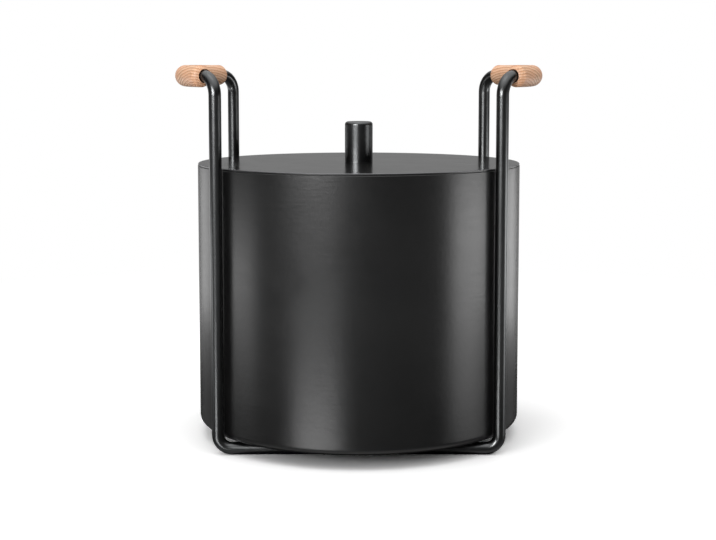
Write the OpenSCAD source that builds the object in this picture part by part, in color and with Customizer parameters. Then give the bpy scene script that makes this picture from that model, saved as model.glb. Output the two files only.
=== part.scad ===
// Kindling bucket with a lift-off lid, carried in two bent bar hoops with curved wooden grips.
// Millimetres. The origin is on the floor under the middle of the bucket, +Z is up and
// the front is towards -Y.

/* [Bucket] */
// Outer diameter of the bucket wall
bucket_d = 300; // [240:1:360]
// Height of the bucket from its base to its rim
bucket_h = 240; // [160:1:300]
// Thickness of the bucket's steel sheet
sheet_t = 1.2; // [1:0.1:2.5]
// Outer radius of the rounded edge between wall and base
base_round = 6.5; // [4:0.5:16]
// Width of the broken edges on the rim
rim_break = 0.3; // [0.2:0.1:0.4]

/* [Lid] */
// Thickness of the flat lid plate
lid_t = 2; // [1.5:0.1:3]
// How far the edge of the lid plate stands back from the outside of the wall
lid_setback = 0.3; // [0.1:0.1:0.8]
// Width of the broken edges round the lid plate
lid_break = 0.4; // [0.2:0.1:0.6]
// Depth of the locating ring under the lid
ring_h = 9; // [5:0.5:14]
// Thickness of the strip that the locating ring is rolled from
ring_t = 1.5; // [1:0.1:2]
// Clearance between the locating ring and the inside of the wall
ring_clearance = 1.3; // [0.5:0.1:2]

/* [Knob] */
// Diameter of the turned knob
knob_d = 26; // [20:0.5:34]
// Height of the knob above the lid
knob_h = 38; // [28:1:50]
// Radius of the knob's rounded top edge
knob_round = 3; // [1:0.25:4]
// Diameter of the screw that holds the knob
screw_d = 6; // [5:0.5:8]
// Length of the screw under its head
screw_l = 14; // [12:1:20]
// Thickness of the washer under the screw head
washer_t = 1.6; // [1:0.1:2]

/* [Hoops] */
// Diameter of the round bar
bar_d = 11; // [9:0.5:12]
// Height of the welds that hold the bucket's base off the hoops
weld_h = 1.5; // [0.5:0.1:3]
// Width of each weld where it meets the base
weld_w = 8; // [6:0.5:9]
// Length of each weld
weld_l = 16; // [10:1:24]
// Bend radius at the middle of the bar in the bottom corners
corner_r = 12; // [8:0.5:16]
// Bend radius at the middle of the bar below the grips
top_r = 16.5; // [14:0.5:18]
// Clearance between the lid's edge and the uprights
lid_bar_clearance = 1.2; // [0.8:0.1:2]

/* [Grips] */
// Height of the grips' axis above the top of the lid
grip_rise = 80.6; // [60:0.1:110]
// Diameter of the round wooden grips
grip_d = 19.5; // [17:0.5:21]
// Radius of the rounded edge at each end of a grip
grip_round = 6.5; // [4:0.5:7]
// Clearance between the lid's edge and the grips, as the lid is lifted between them
lid_grip_clearance = 0.6; // [0.4:0.1:2]
// How far each grip reaches past the start of the bar's bend, over the opened mouth of its hole
grip_reach = 3; // [1:0.5:3]
// Depth of the holes for the bar ends, past the start of the bend
hole_depth = 11.5; // [9:0.5:13]
// Width by which the mouth of each hole is opened out
mouth_w = 0.9; // [0.5:0.1:1.4]
// Depth of the opened mouth, past the start of the bend
mouth_depth = 0.5; // [0.5:0.5:3]

/* [Hidden] */
// Facets of the large round pieces, of bars and grips, and of small rounded edges
$fn = 96;
bar_fn = 36;
edge_fn = 24;

steel_black = [0.09, 0.09, 0.10];
bar_black = [0.14, 0.15, 0.15];
zinc = [0.70, 0.71, 0.73];
beech = [0.87, 0.68, 0.50];

// Radial clearance of the screw and of the bar ends in their holes
fit = 0.05;
// Room past the end of a bar or screw at the bottom of its blind hole
blind_room = 0.5;
// Overshoot of a cutting tool past the face that it cuts
over = 1;

bucket_r = bucket_d / 2;
bar_r = bar_d / 2;
wall_in_r = bucket_r - sheet_t;
base_z = bar_d + weld_h;
rim_z = base_z + bucket_h;
lid_top_z = rim_z + lid_t;
lid_r = bucket_r - lid_setback;
ring_out_r = wall_in_r - ring_clearance;

// Play of the screw in the lid and washer, and the usual proportions of a button head screw
screw_play = 0.25;
screw_hole_r = screw_d / 2 + screw_play;
screw_head_r = 0.875 * screw_d;
screw_head_h = 0.55 * screw_d;
socket_r = 0.385 * screw_d;
socket_depth = 0.35 * screw_d;
washer_r = screw_d;
washer_z = rim_z - washer_t;

// The uprights and the grips stand round the lid's edge, so that the lid lifts between them
upright_r = lid_r + lid_bar_clearance + bar_r;
// Each upright stands at the corner of a 3-4-5 triangle from the middle of the bucket
upright_x = upright_r * 4 / 5;
hoop_y = upright_r * 3 / 5;
grip_r = grip_d / 2;
grip_arc_r = lid_r + lid_grip_clearance + grip_r;
grip_z = lid_top_z + grip_rise;

// Direction of the front right bar end, from +X towards +Y. Its sine and cosine end after six
// digits, so that the faces of the bar's stretches meet exactly.
heading = atan2(11753, 10296);
// Angle from the X axis at which the line of the bar end passes closest to the lid
end_angle = 90 - heading;
reach_angle = end_angle - asin(hoop_y / upright_r);
// A grip starts a little before the bar's bend has ended
grip_start = top_r - grip_reach;
grip_half_angle = end_angle
    - atan2(upright_r * sin(reach_angle) + grip_start, upright_r * cos(reach_angle));
// Each grip is cut from a bar this much longer at each end, in degrees
grip_spare_angle = 3;
// The rounded ends meet the grip at a soft edge this far outside its surface
grip_ease = 0.25;

// Half section of a cup with a rounded lower edge
module cup_profile(r, h, edge) {
    square([r - edge, h]);
    translate([0, edge]) square([r, h - edge]);
    translate([r - edge, edge]) intersection() {
        circle(r = edge, $fn = edge_fn);
        translate([0, -edge]) square(edge);
    }
}

// Drawn from one steel disc: wall, rounded lower edge and flat base
module bucket_shell() {
    color(steel_black)
        translate([0, 0, base_z])
            rotate_extrude()
                difference() {
                    cup_profile(bucket_r, bucket_h, base_round);
                    translate([0, sheet_t])
                        cup_profile(wall_in_r, bucket_h, base_round - sheet_t);
                    for (x = [wall_in_r, bucket_r])
                        translate([x, bucket_h])
                            rotate(45) square(rim_break * sqrt(2), center = true);
                }
}

// Quarter bend of the bar in the X-Z plane, from angle start
module bend(r, start) {
    rotate([90, 0, 0])
        rotate(start)
            rotate_extrude(angle = 90, $fn = bar_fn)
                translate([r, 0]) circle(r = bar_r, $fn = bar_fn);
}

// Right half of a hoop's bar, from the middle of its bottom run to its end in the grip
module half_bar() {
    corner_x = upright_x - corner_r;
    corner_z = bar_r + corner_r;
    top_z = grip_z - top_r;
    translate([0, 0, bar_r]) rotate([0, 90, 0]) cylinder(r = bar_r, h = corner_x, $fn = bar_fn);
    translate([corner_x, 0, corner_z]) bend(corner_r, -90);
    translate([upright_x, 0, corner_z]) cylinder(r = bar_r, h = top_z - corner_z, $fn = bar_fn);
    translate([upright_x, 0, top_z])
        rotate(heading) {
            translate([top_r, 0, 0]) bend(top_r, 90);
            translate([top_r, 0, top_r])
                rotate([0, 90, 0])
                    cylinder(r = bar_r, h = hole_depth - blind_room, $fn = bar_fn);
        }
}

// Weld bead that stands on the bar and carries the bucket's base, narrower down at its root
module weld(x) {
    root_depth = 2;
    root_draft = 1;
    translate([x - weld_l / 2, 0, base_z])
        rotate([90, 0, 90])
            linear_extrude(weld_l)
                polygon([[-weld_w / 2, 0], [weld_w / 2, 0],
                         [weld_w / 2 - root_draft, -weld_h - root_depth],
                         [root_draft - weld_w / 2, -weld_h - root_depth]]);
}

// One round bar bent to a U, with its ends turned into the grips, welded under the base
module hoop() {
    weld_x = sqrt(pow(bucket_r - base_round, 2) - hoop_y * hoop_y) - weld_l;
    translate([0, -hoop_y, 0]) {
        half_bar();
        mirror([1, 0, 0]) half_bar();
        for (x = [-weld_x, 0, weld_x]) weld(x);
    }
}

module front_hoop() {
    color(bar_black) hoop();
}

module rear_hoop() {
    color(bar_black) mirror([0, 1, 0]) hoop();
}

// Waste turned off the end of a grip, to leave its rounded end, with +Z along the grip
module end_waste() {
    r = grip_r + grip_ease;
    rotate_extrude($fn = bar_fn)
        difference() {
            translate([0, -2 * grip_r]) square([grip_d, 2 * grip_r + grip_round]);
            square([r - grip_round, 2 * grip_round]);
            translate([r - grip_round, grip_round]) circle(r = grip_round, $fn = edge_fn);
        }
}

// Blind hole that the bar end sits in, with its mouth opened out, slanting to the bar's line
module bar_hole() {
    translate([upright_x, -hoop_y, 0])
        rotate(heading)
            translate([grip_start - over, 0, 0])
                rotate([0, 90, 0]) {
                    cylinder(r = bar_r + fit, h = over + grip_reach + hole_depth, $fn = bar_fn);
                    cylinder(r = bar_r + mouth_w, h = over + grip_reach + mouth_depth, $fn = bar_fn);
                }
}

// Round wooden bar curved to the lid's edge, held between the ends of the two hoops
module grip() {
    arc_angle = grip_half_angle + grip_spare_angle;
    translate([0, 0, grip_z])
        difference() {
            rotate(-arc_angle)
                rotate_extrude(angle = 2 * arc_angle)
                    translate([grip_arc_r, 0]) circle(r = grip_r, $fn = bar_fn);
            for (side = [0, 1])
                mirror([0, side, 0]) {
                    rotate(-grip_half_angle)
                        translate([grip_arc_r, 0, 0])
                            rotate([-90, 0, 0]) end_waste();
                    bar_hole();
                }
        }
}

module left_grip() {
    color(beech) mirror([1, 0, 0]) grip();
}

module right_grip() {
    color(beech) grip();
}

// Flat disc with a lightly broken edge and a hole for the knob's screw
module lid_plate() {
    color(steel_black)
        translate([0, 0, rim_z])
            rotate_extrude()
                polygon([[screw_hole_r, 0], [lid_r - lid_break, 0], [lid_r, lid_break],
                         [lid_r, lid_t - lid_break], [lid_r - lid_break, lid_t], [screw_hole_r, lid_t]]);
}

// Strip rolled to a ring and welded under the lid, to keep the lid from sliding off
module lid_ring() {
    color(steel_black)
        translate([0, 0, rim_z - ring_h])
            rotate_extrude()
                translate([ring_out_r - ring_t, 0])
                    square([ring_t, ring_h]);
}

// Turned from bar: rounded upper edge, flat top and a tapped hole in its foot
module lid_knob() {
    knob_r = knob_d / 2;
    thread_depth = screw_l - washer_t - lid_t + blind_room;
    color(bar_black)
        translate([0, 0, lid_top_z])
            difference() {
                rotate_extrude($fn = bar_fn) {
                    square([knob_r, knob_h - knob_round]);
                    square([knob_r - knob_round, knob_h]);
                    translate([knob_r - knob_round, knob_h - knob_round])
                        intersection() {
                            circle(r = knob_round, $fn = edge_fn);
                            square(knob_round);
                        }
                }
                translate([0, 0, -over])
                    cylinder(d = screw_d + 2 * fit, h = thread_depth + over, $fn = bar_fn);
            }
}

// Flat washer between the screw head and the lid
module knob_washer() {
    color(zinc)
        translate([0, 0, washer_z])
            difference() {
                cylinder(r = washer_r, h = washer_t, $fn = bar_fn);
                translate([0, 0, -over])
                    cylinder(r = screw_hole_r, h = washer_t + 2 * over, $fn = bar_fn);
            }
}

// Button head screw with a hexagon socket, driven up from inside the bucket
module knob_screw() {
    crown_r = (screw_head_r * screw_head_r + screw_head_h * screw_head_h) / (2 * screw_head_h);
    color(zinc)
        translate([0, 0, washer_z]) {
            cylinder(d = screw_d, h = screw_l, $fn = bar_fn);
            difference() {
                intersection() {
                    translate([0, 0, crown_r - screw_head_h]) sphere(r = crown_r, $fn = bar_fn);
                    translate([0, 0, -screw_head_h])
                        cylinder(r = crown_r, h = screw_head_h, $fn = bar_fn);
                }
                translate([0, 0, -screw_head_h - over])
                    cylinder(r = socket_r, h = socket_depth + over, $fn = 6);
            }
        }
}

bucket_shell();
front_hoop();
rear_hoop();
left_grip();
right_grip();
lid_plate();
lid_ring();
lid_knob();
knob_washer();
knob_screw();
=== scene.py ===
import math

import bpy
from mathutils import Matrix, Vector

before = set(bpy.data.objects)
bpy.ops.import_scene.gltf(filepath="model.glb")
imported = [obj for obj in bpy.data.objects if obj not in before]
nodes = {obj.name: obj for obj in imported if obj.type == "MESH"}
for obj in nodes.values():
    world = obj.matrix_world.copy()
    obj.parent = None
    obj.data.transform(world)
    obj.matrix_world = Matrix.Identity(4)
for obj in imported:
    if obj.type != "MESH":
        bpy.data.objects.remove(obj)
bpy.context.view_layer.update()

scene = bpy.context.scene
scene.view_settings.view_transform = "Standard"


# Camera: a long lens 1.36 m in front of the bucket, level with the grips' tops and tilted down a
# little. The small shift keeps the uprights near parallel, as a view camera does.
CAMERA_AT = (0.0, -1.359, 0.3441)
CAMERA_TILT = 0.10
CAMERA_LENS = 73.0
CAMERA_SENSOR = 36.0
CAMERA_SHIFT = -0.0817
CAMERA_SIDE = -0.0011

camera_data = bpy.data.cameras.new("camera")
camera_data.lens = CAMERA_LENS
camera_data.sensor_width = CAMERA_SENSOR
camera_data.sensor_fit = "HORIZONTAL"
camera_data.shift_x = CAMERA_SIDE
camera_data.shift_y = CAMERA_SHIFT
camera_data.dof.use_dof = False
camera = bpy.data.objects.new("camera", camera_data)
camera.location = CAMERA_AT
camera.rotation_euler = (math.pi / 2 - CAMERA_TILT, 0, 0)
scene.collection.objects.link(camera)
scene.camera = camera


# Bucket shell: drawn from one disc of 1.2 mm mild steel and trued on a lathe, so wall, rounded edge
# and base are one sheet without a seam. It is powder coated in satin black and baked.
def linear(hex_colour):
    """Linear RGBA of an sRGB hex colour."""
    channels = [int(hex_colour[i:i + 2], 16) / 255 for i in (0, 2, 4)]
    return [c / 12.92 if c <= 0.04045 else ((c + 0.055) / 1.055) ** 2.4 for c in channels] + [1.0]


def add_node(tree, kind, settings, links=None):
    """Adds a shader node, sets its properties and sockets, and links its inputs. A socket goes by
    its name, or by its number where names repeat; a mix of colours has them at 0, 6 and 7."""
    made = tree.nodes.new(kind)
    for name, value in settings.items():
        if isinstance(name, int) or name in made.inputs:
            made.inputs[name].default_value = value
        else:
            setattr(made, name, value)
    for name, source in (links or {}).items():
        tree.links.new(source, made.inputs[name])
    return made


def new_finish(name):
    """An empty node material, its tree, and its output node."""
    material = bpy.data.materials.new(name)
    material.use_nodes = True
    tree = material.node_tree
    tree.nodes.clear()
    return material, tree, add_node(tree, "ShaderNodeOutputMaterial", {})


def dress(node, material):
    """Gives a carried-over CAD node its finish."""
    nodes[node].data.materials.clear()
    nodes[node].data.materials.append(material)


# Real orange peel has cells of about 1 mm, and lathe marks are finer still: both are drawn coarser,
# or the picture wouldn't show them. Coordinates squeezed to 0.15 make the marks 20 mm long.
PEEL_WIDTH = 0.0035
MARK_SPACING = 0.003
MARK_SQUEEZE = 0.15
CLOUD_WIDTH = 0.04
COAT_SMOOTHEST = 0.285
COAT_ROUGHEST = 0.33
GRAZING_SHARE = 0.58
COAT_RELIEF = 0.00007
# Coated steel further out and higher than this is the lid's rim, which carries a painted highlight
RIM_RADIUS = 0.1490
RIM_HEIGHT = 0.2539
RIM_HIGHLIGHT_METAL = 0.4


def satin_powder_coat():
    """Polyester powder baked on steel: a satin skin, nearly black in itself, so that nearly all
    that shows is its sheen, broken up by orange peel and by the lathe's marks under the film."""
    material, tree, out = new_finish("satin_powder_coat")
    at = add_node(tree, "ShaderNodeTexCoord", {})
    peel = add_node(tree, "ShaderNodeTexNoise", {"Scale": 1 / PEEL_WIDTH, "Detail": 0.0},
                    {"Vector": at.outputs["Object"]})
    round_the_wall = add_node(tree, "ShaderNodeMapping",
                              {"Scale": (MARK_SQUEEZE, MARK_SQUEEZE, 1.0)},
                              {"Vector": at.outputs["Object"]})
    marks = add_node(tree, "ShaderNodeTexNoise",
                     {"Scale": 1 / MARK_SPACING, "Detail": 1.0, "Roughness": 0.5},
                     {"Vector": round_the_wall.outputs[0]})
    # The film lies unevenly, in clouds that are a little paler and duller
    cloud = add_node(tree, "ShaderNodeTexNoise",
                     {"Scale": 1 / CLOUD_WIDTH, "Detail": 3.0, "Roughness": 0.6},
                     {"Vector": at.outputs["Object"]})
    uneven = add_node(tree, "ShaderNodeMath", {"operation": "MULTIPLY_ADD", 1: 0.5},
                      {0: marks.outputs["Fac"], 2: cloud.outputs["Fac"]})
    gloss = add_node(tree, "ShaderNodeMapRange",
                     {"From Min": 0.5, "From Max": 1.0, "To Min": COAT_SMOOTHEST,
                      "To Max": COAT_ROUGHEST},
                     {"Value": uneven.outputs[0]})
    # Seen along the surface, as the lid is, a film mirrors more sharply
    grazing = add_node(tree, "ShaderNodeLayerWeight", {"Blend": 0.5})
    sharper = add_node(tree, "ShaderNodeMapRange",
                       {"From Min": 0.8, "From Max": 0.93, "To Min": 1.0,
                        "To Max": GRAZING_SHARE},
                       {"Value": grazing.outputs["Facing"]})
    satin = add_node(tree, "ShaderNodeMath", {"operation": "MULTIPLY"},
                     {0: gloss.outputs[0], 1: sharper.outputs[0]})
    tone = add_node(tree, "ShaderNodeMix",
                    {"data_type": "RGBA", 6: linear("0b0b0c"), 7: linear("131313")},
                    {0: cloud.outputs["Fac"]})
    height = add_node(tree, "ShaderNodeMath", {"operation": "MULTIPLY_ADD", 1: 0.9},
                      {0: marks.outputs["Fac"], 2: peel.outputs["Fac"]})
    relief = add_node(tree, "ShaderNodeBump", {"Strength": 0.5, "Distance": COAT_RELIEF},
                      {"Height": height.outputs[0]})
    # Painted highlight: a paler, partly metallic band on the lid's rim stands in for the bright
    # line of light along its upper edge
    spot = add_node(tree, "ShaderNodeSeparateXYZ", {}, {0: at.outputs["Object"]})
    flat = add_node(tree, "ShaderNodeCombineXYZ", {}, {0: spot.outputs["X"], 1: spot.outputs["Y"]})
    radius = add_node(tree, "ShaderNodeVectorMath", {"operation": "LENGTH"}, {0: flat.outputs[0]})
    outside = add_node(tree, "ShaderNodeMath", {"operation": "GREATER_THAN", 1: RIM_RADIUS},
                       {0: radius.outputs["Value"]})
    on_top = add_node(tree, "ShaderNodeMath", {"operation": "GREATER_THAN", 1: RIM_HEIGHT},
                      {0: spot.outputs["Z"]})
    rim_highlight_mask = add_node(tree, "ShaderNodeMath", {"operation": "MULTIPLY"},
                      {0: on_top.outputs[0], 1: outside.outputs[0]})
    rim_highlight_metal = add_node(tree, "ShaderNodeMath", {"operation": "MULTIPLY", 1: RIM_HIGHLIGHT_METAL},
                    {0: rim_highlight_mask.outputs[0]})
    rim_highlight_tone = add_node(tree, "ShaderNodeMix", {"data_type": "RGBA", 7: linear("58585a")},
                    {0: rim_highlight_mask.outputs[0], 6: tone.outputs[2]})
    coat = add_node(tree, "ShaderNodeBsdfPrincipled", {"IOR": 1.5},
                    {"Base Color": rim_highlight_tone.outputs[2], "Metallic": rim_highlight_metal.outputs[0],
                     "Roughness": satin.outputs[0], "Normal": relief.outputs[0]})
    tree.links.new(coat.outputs[0], out.inputs[0])
    return material


powder_coat = satin_powder_coat()
dress("bucket_shell", powder_coat)


# Two hoops: 11 mm round mild steel bar, bent cold to a U and turned into the grips at its ends,
# then sprayed with a dark metallic lacquer and baked, which leaves a smooth gunmetal skin.
SPRAY_PATCH = 0.012
LACQUER_WAVE = 0.01
LACQUER_SMOOTHEST = 0.28
LACQUER_ROUGHEST = 0.29
LACQUER_RELIEF = 0.00002


def gunmetal_lacquer():
    """Lacquer full of fine dark metal flake: neutral metal reflections, much darker than bare
    steel, with soft patches where the spray lies thicker and low waves where it settled."""
    material, tree, out = new_finish("gunmetal_lacquer")
    at = add_node(tree, "ShaderNodeTexCoord", {})
    patch = add_node(tree, "ShaderNodeTexNoise", {"Scale": 1 / SPRAY_PATCH, "Detail": 1.0},
                     {"Vector": at.outputs["Object"]})
    tone = add_node(tree, "ShaderNodeMix",
                    {"data_type": "RGBA", 6: linear("4b4c4d"), 7: linear("535454")},
                    {0: patch.outputs["Fac"]})
    gloss = add_node(tree, "ShaderNodeMapRange",
                     {"From Min": 0.3, "From Max": 0.7, "To Min": LACQUER_SMOOTHEST,
                      "To Max": LACQUER_ROUGHEST},
                     {"Value": patch.outputs["Fac"]})
    flow = add_node(tree, "ShaderNodeTexNoise", {"Scale": 1 / LACQUER_WAVE, "Detail": 0.0},
                    {"Vector": at.outputs["Object"]})
    relief = add_node(tree, "ShaderNodeBump", {"Strength": 0.3, "Distance": LACQUER_RELIEF},
                      {"Height": flow.outputs["Fac"]})
    skin = add_node(tree, "ShaderNodeBsdfPrincipled", {"Metallic": 1.0},
                    {"Base Color": tone.outputs[2], "Roughness": gloss.outputs[0],
                     "Normal": relief.outputs[0]})
    tree.links.new(skin.outputs[0], out.inputs[0])
    return material


bar_finish = gunmetal_lacquer()
for hoop in ("front_hoop", "rear_hoop"):
    dress(hoop, bar_finish)


# Two grips: beech bar 19.5 mm thick, cut to a curve from a straight-grained board, rounded all
# over and oiled. The bar ends are pushed into slanting holes and glued.
HEART_OUT = 0.145
HEART_UP = 0.315
GRAIN_SQUEEZE = 0.12
SWAY_WIDTH = 0.018
SWAY_DEPTH = 0.004
RING_SPACING = 0.0025
# A wave of the wave texture is this long at scale 1
WAVE_AT_SCALE_1 = 0.314
FLECK_WIDTH = 0.0008
BLUSH_WIDTH = 0.025
GRAIN_RELIEF = 0.00008


def oiled_beech():
    """Oiled beech: pale pinkish tan with narrow brown growth lines, which run straight through the
    curved grip because it was sawn to shape, dark flecks along the grain and a dull sheen."""
    material, tree, out = new_finish("oiled_beech")
    at = add_node(tree, "ShaderNodeTexCoord", {})
    # Both grips are cut alike, so the pattern is mirrored in the bucket's middle
    spot = add_node(tree, "ShaderNodeSeparateXYZ", {}, {0: at.outputs["Object"]})
    outward = add_node(tree, "ShaderNodeMath", {"operation": "ABSOLUTE"}, {0: spot.outputs["X"]})
    mirrored = add_node(tree, "ShaderNodeCombineXYZ", {},
                        {0: outward.outputs[0], 1: spot.outputs["Y"], 2: spot.outputs["Z"]})
    # The board's grain runs front to back, so the coordinates are squeezed along Y; the tree's
    # heart lay a little inside of the grip and below it
    along = add_node(tree, "ShaderNodeMapping",
                     {"Location": (-HEART_OUT, 0.0, -HEART_UP), "Scale": (1.0, GRAIN_SQUEEZE, 1.0)},
                     {"Vector": mirrored.outputs[0]})
    sway = add_node(tree, "ShaderNodeTexNoise", {"Scale": 1 / SWAY_WIDTH, "Detail": 2.0},
                    {"Vector": along.outputs[0]})
    swayed = add_node(tree, "ShaderNodeVectorMath",
                      {"operation": "MULTIPLY_ADD", 1: (SWAY_DEPTH, 0.0, SWAY_DEPTH)},
                      {0: sway.outputs["Color"], 2: along.outputs[0]})
    ring = add_node(tree, "ShaderNodeTexWave",
                    {"Scale": WAVE_AT_SCALE_1 / RING_SPACING, "Distortion": 1.2, "Detail": 2.0,
                     "Detail Scale": 1.5, "wave_type": "RINGS", "rings_direction": "Y",
                     "wave_profile": "SAW"},
                    {"Vector": swayed.outputs[0]})
    tone = add_node(tree, "ShaderNodeValToRGB", {}, {0: ring.outputs["Fac"]})
    tone.color_ramp.elements[0].color = linear("f2c9a6")
    tone.color_ramp.elements[1].color = linear("965a32")
    tone.color_ramp.elements[0].position = 0.2
    tone.color_ramp.elements.new(0.75).color = linear("daa278")
    # Flecks of the medullary rays, about 7 mm long
    fleck = add_node(tree, "ShaderNodeTexNoise", {"Scale": 1 / FLECK_WIDTH, "Detail": 2.0},
                     {"Vector": along.outputs[0]})
    dark = add_node(tree, "ShaderNodeMapRange",
                    {"From Min": 0.55, "From Max": 0.72, "To Min": 0.0, "To Max": 0.65},
                    {"Value": fleck.outputs["Fac"]})
    flecked = add_node(tree, "ShaderNodeMix", {"data_type": "RGBA", 7: linear("a0653f")},
                       {0: dark.outputs[0], 6: tone.outputs[0]})
    # Heart and sap sides of the board differ, in soft patches
    blush = add_node(tree, "ShaderNodeTexNoise", {"Scale": 1 / BLUSH_WIDTH, "Detail": 1.0},
                     {"Vector": mirrored.outputs[0]})
    share = add_node(tree, "ShaderNodeMapRange",
                     {"From Min": 0.35, "From Max": 0.65, "To Min": 0.0, "To Max": 0.5},
                     {"Value": blush.outputs["Fac"]})
    wood_tone = add_node(tree, "ShaderNodeMix", {"data_type": "RGBA", 7: linear("ecae88")},
                         {0: share.outputs[0], 6: flecked.outputs[2]})
    relief = add_node(tree, "ShaderNodeBump", {"Strength": 0.35, "Distance": GRAIN_RELIEF},
                      {"Height": ring.outputs["Fac"]})
    wood = add_node(tree, "ShaderNodeBsdfPrincipled", {"IOR": 1.47, "Roughness": 0.48},
                    {"Base Color": wood_tone.outputs[2], "Normal": relief.outputs[0]})
    tree.links.new(wood.outputs[0], out.inputs[0])
    return material


grip_finish = oiled_beech()
for grip in ("left_grip", "right_grip"):
    dress(grip, grip_finish)


# Lid: a flat 2 mm disc with a rolled strip welded under it, which keeps it from sliding off.
# Both are coated together, in the bucket's satin black.
for part in ("lid_plate", "lid_ring"):
    dress(part, powder_coat)


# Knob: turned from 26 mm steel bar, its upper edge rounded in the lathe, and lacquered like the
# hoops. It stands on the lid and is held from below.
dress("lid_knob", bar_finish)


# Washer and screw: a flat washer and a button head screw of zinc plated steel, driven up through
# the lid into the knob. They are hidden until the lid is lifted off.
CRYSTAL_WIDTH = 0.0008


def zinc_plate():
    """Bright zinc plate on turned steel: pale bluish metal, a little dull, with the crystals of the
    plating drawn coarser than the real ones."""
    material, tree, out = new_finish("zinc_plate")
    at = add_node(tree, "ShaderNodeTexCoord", {})
    crystal = add_node(tree, "ShaderNodeTexVoronoi", {"Scale": 1 / CRYSTAL_WIDTH},
                       {"Vector": at.outputs["Object"]})
    gloss = add_node(tree, "ShaderNodeMapRange", {"To Min": 0.26, "To Max": 0.4},
                     {"Value": crystal.outputs["Distance"]})
    tone = add_node(tree, "ShaderNodeMix",
                    {"data_type": "RGBA", 6: linear("c2c7cd"), 7: linear("adb2b8")},
                    {0: crystal.outputs["Distance"]})
    plate = add_node(tree, "ShaderNodeBsdfPrincipled", {"Metallic": 1.0},
                     {"Base Color": tone.outputs[2], "Roughness": gloss.outputs[0]})
    tree.links.new(plate.outputs[0], out.inputs[0])
    return material


zinc = zinc_plate()
for part in ("knob_washer", "knob_screw"):
    dress(part, zinc)


# Floor: a plain white sheet that the bucket stands on. It keeps the soft shadow near the bucket
# and fades to the white of the background further out.
FLOOR_HALF = 6.0
FADE_START = 0.45
FADE_END = 1.1
SHEET_WHITE = 1.32
MIRRORED_WHITE = 0.9
BOUNCE_WHITE = 0.12
SHADE_WHITE = 0.05
OPEN_WHITE = 0.35
FRONT_POLISH = 0.4
BACK_POLISH = 0.08


def white_floor():
    """White acrylic sheet. The camera sees its white and the shadow on it. What the bucket mirrors
    of it is dimmer, most of all near its foot, with a second image of the lights that is stronger
    in front. The light that it throws back on the bucket is weak, as over a dark studio floor."""
    material, tree, out = new_finish("white_floor")
    ray = add_node(tree, "ShaderNodeLightPath", {})
    at = add_node(tree, "ShaderNodeTexCoord", {})
    away = add_node(tree, "ShaderNodeVectorMath", {"operation": "LENGTH"},
                    {0: at.outputs["Object"]})
    fade = add_node(tree, "ShaderNodeMapRange", {"From Min": FADE_START, "From Max": FADE_END},
                    {"Value": away.outputs["Value"]})
    paper = add_node(tree, "ShaderNodeBsdfDiffuse",
                     {"Color": (SHEET_WHITE, SHEET_WHITE, SHEET_WHITE, 1.0)})
    glow = add_node(tree, "ShaderNodeEmission", {"Color": (1.0, 1.0, 1.0, 1.0), "Strength": 1.0})
    seen = add_node(tree, "ShaderNodeMixShader", {},
                    {0: fade.outputs[0], 1: paper.outputs[0], 2: glow.outputs[0]})
    # Painted shade: in what the bucket mirrors, the sheet darkens towards its foot, standing in for
    # the bucket's shadow on it
    painted_foot_shade = add_node(tree, "ShaderNodeMapRange",
                    {"From Min": 0.3, "From Max": 0.75, "To Min": SHADE_WHITE,
                     "To Max": OPEN_WHITE},
                    {"Value": away.outputs["Value"]})
    bounce = add_node(tree, "ShaderNodeMix", {3: BOUNCE_WHITE},
                      {0: ray.outputs["Is Diffuse Ray"], 2: painted_foot_shade.outputs[0]})
    matt = add_node(tree, "ShaderNodeBsdfDiffuse", {}, {"Color": bounce.outputs[0]})
    gloss = add_node(tree, "ShaderNodeBsdfGlossy",
                     {"Color": (MIRRORED_WHITE, MIRRORED_WHITE, MIRRORED_WHITE, 1.0),
                      "Roughness": 0.15})
    spot = add_node(tree, "ShaderNodeSeparateXYZ", {}, {0: at.outputs["Object"]})
    polish = add_node(tree, "ShaderNodeMapRange",
                      {"From Min": -0.2, "From Max": 0.0, "To Min": FRONT_POLISH,
                       "To Max": BACK_POLISH},
                      {"Value": spot.outputs["Y"]})
    mirrored = add_node(tree, "ShaderNodeMixShader", {},
                        {0: polish.outputs[0], 1: matt.outputs[0], 2: gloss.outputs[0]})
    both = add_node(tree, "ShaderNodeMixShader", {},
                    {0: ray.outputs["Is Camera Ray"], 1: mirrored.outputs[0], 2: seen.outputs[0]})
    tree.links.new(both.outputs[0], out.inputs[0])
    return material


floor_mesh = bpy.data.meshes.new("floor")
floor_mesh.from_pydata([(x * FLOOR_HALF, y * FLOOR_HALF, 0.0) for x, y in
                        ((-1, -1), (1, -1), (1, 1), (-1, 1))], [], [(0, 1, 2, 3)])
floor_mesh.materials.append(white_floor())
floor = bpy.data.objects.new("floor", floor_mesh)
scene.collection.objects.link(floor)


# Light: a studio with a large soft box in front on the left and a weak one overhead. A card of the
# key's size and four low cards, two at each side, draw the bands of sheen on the black parts.
WALL_IN_FRONT = 0.015
WALL_BEHIND = 0.33
CEILING = 1.8
FILL_FROM_SIDES = 0.42
FILL_FROM_ABOVE = 0.95


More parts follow.
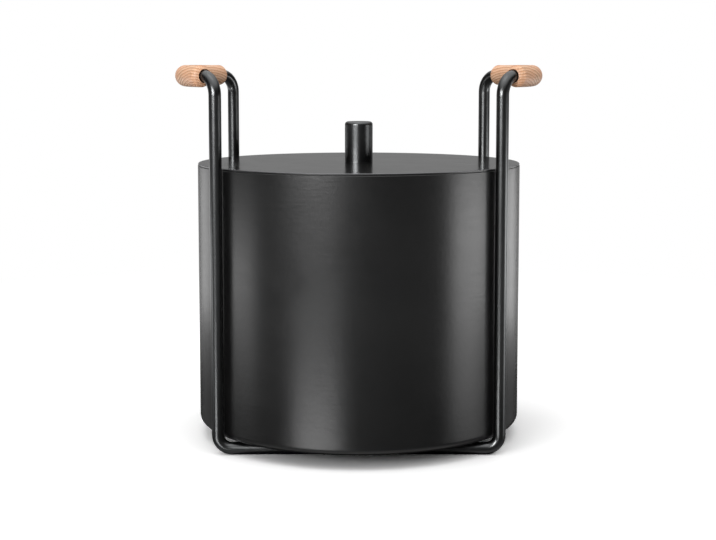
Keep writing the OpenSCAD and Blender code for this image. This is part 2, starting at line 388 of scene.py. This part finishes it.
def studio_air():
    """The room. The camera sees it white, and its fill light is soft, weaker from the sides than
    from above. The bucket mirrors it nearly black in front, grey behind and bright overhead."""
    world = bpy.data.worlds.new("studio")
    scene.world = world
    world.use_nodes = True
    tree = world.node_tree
    tree.nodes.clear()
    ray = add_node(tree, "ShaderNodeLightPath", {})
    at = add_node(tree, "ShaderNodeTexCoord", {})
    way = add_node(tree, "ShaderNodeSeparateXYZ", {}, {0: at.outputs["Generated"]})
    back = add_node(tree, "ShaderNodeMapRange",
                    {"From Min": 0.45, "From Max": 0.85, "To Min": WALL_IN_FRONT,
                     "To Max": WALL_BEHIND, "interpolation_type": "SMOOTHSTEP"},
                    {"Value": way.outputs["Y"]})
    ceiling = add_node(tree, "ShaderNodeMapRange",
                       {"From Min": 0.35, "From Max": 0.85, "To Max": CEILING,
                        "interpolation_type": "SMOOTHSTEP"},
                       {"Value": way.outputs["Z"]})
    walls = add_node(tree, "ShaderNodeMath", {"operation": "ADD"},
                     {0: back.outputs[0], 1: ceiling.outputs[0]})
    soft = add_node(tree, "ShaderNodeMapRange",
                    {"From Max": 0.8, "To Min": FILL_FROM_SIDES, "To Max": FILL_FROM_ABOVE,
                     "interpolation_type": "SMOOTHSTEP"},
                    {"Value": way.outputs["Z"]})
    fill = add_node(tree, "ShaderNodeMix", {},
                    {0: ray.outputs["Is Diffuse Ray"], 2: walls.outputs[0], 3: soft.outputs[0]})
    seen = add_node(tree, "ShaderNodeMath", {"operation": "MAXIMUM"},
                    {0: ray.outputs["Is Camera Ray"], 1: ray.outputs["Is Transmission Ray"]})
    level = add_node(tree, "ShaderNodeMix", {3: 1.0}, {0: seen.outputs[0], 2: fill.outputs[0]})
    air = add_node(tree, "ShaderNodeBackground", {"Color": (1.0, 1.0, 1.0, 1.0)},
                   {"Strength": level.outputs[0]})
    add_node(tree, "ShaderNodeOutputWorld", {}, {0: air.outputs[0]})


studio_air()


def soft_box(name, azimuth, distance, bottom, width, tall, radiance, aim_height, card=False):
    """An area light round the bucket. Azimuth 0 is in front and grows to the right; radiance 1
    is the white of the background. A card shows in reflections alone."""
    lamp = bpy.data.lights.new(name, "AREA")
    lamp.shape = "RECTANGLE"
    lamp.size = width
    lamp.size_y = tall
    lamp.energy = radiance * math.pi * width * tall
    box = bpy.data.objects.new(name, lamp)
    turn = math.radians(azimuth)
    box.location = (distance * math.sin(turn), -distance * math.cos(turn), bottom + tall / 2)
    aim = Vector((0, 0, aim_height)) - box.location
    box.rotation_euler = aim.to_track_quat("-Z", "Y").to_euler()
    box.visible_camera = False
    box.visible_diffuse = not card
    scene.collection.objects.link(box)


soft_box("key_box", azimuth=-29, distance=1.9, bottom=0.44, width=1.0, tall=0.42,
         radiance=8, aim_height=0.5)
soft_box("key_card", azimuth=-29, distance=1.88, bottom=0.44, width=1.0, tall=0.42,
         radiance=18, aim_height=0.5, card=True)
soft_box("top_box", azimuth=-30, distance=0.4, bottom=1.9, width=1.6, tall=1.2,
         radiance=1.3, aim_height=0.2)
soft_box("right_card", azimuth=78, distance=0.95, bottom=0.0, width=0.5, tall=0.22,
         radiance=5.6, aim_height=0.11, card=True)
soft_box("right_back_card", azimuth=122, distance=0.69, bottom=0.0, width=0.27, tall=0.22,
         radiance=2.5, aim_height=0.1, card=True)
soft_box("left_card", azimuth=-85, distance=0.85, bottom=0.0, width=0.42, tall=0.12,
         radiance=3.4, aim_height=0.06, card=True)
soft_box("left_back_card", azimuth=-124, distance=0.75, bottom=0.0, width=0.38, tall=0.24,
         radiance=1.5, aim_height=0.1, card=True)
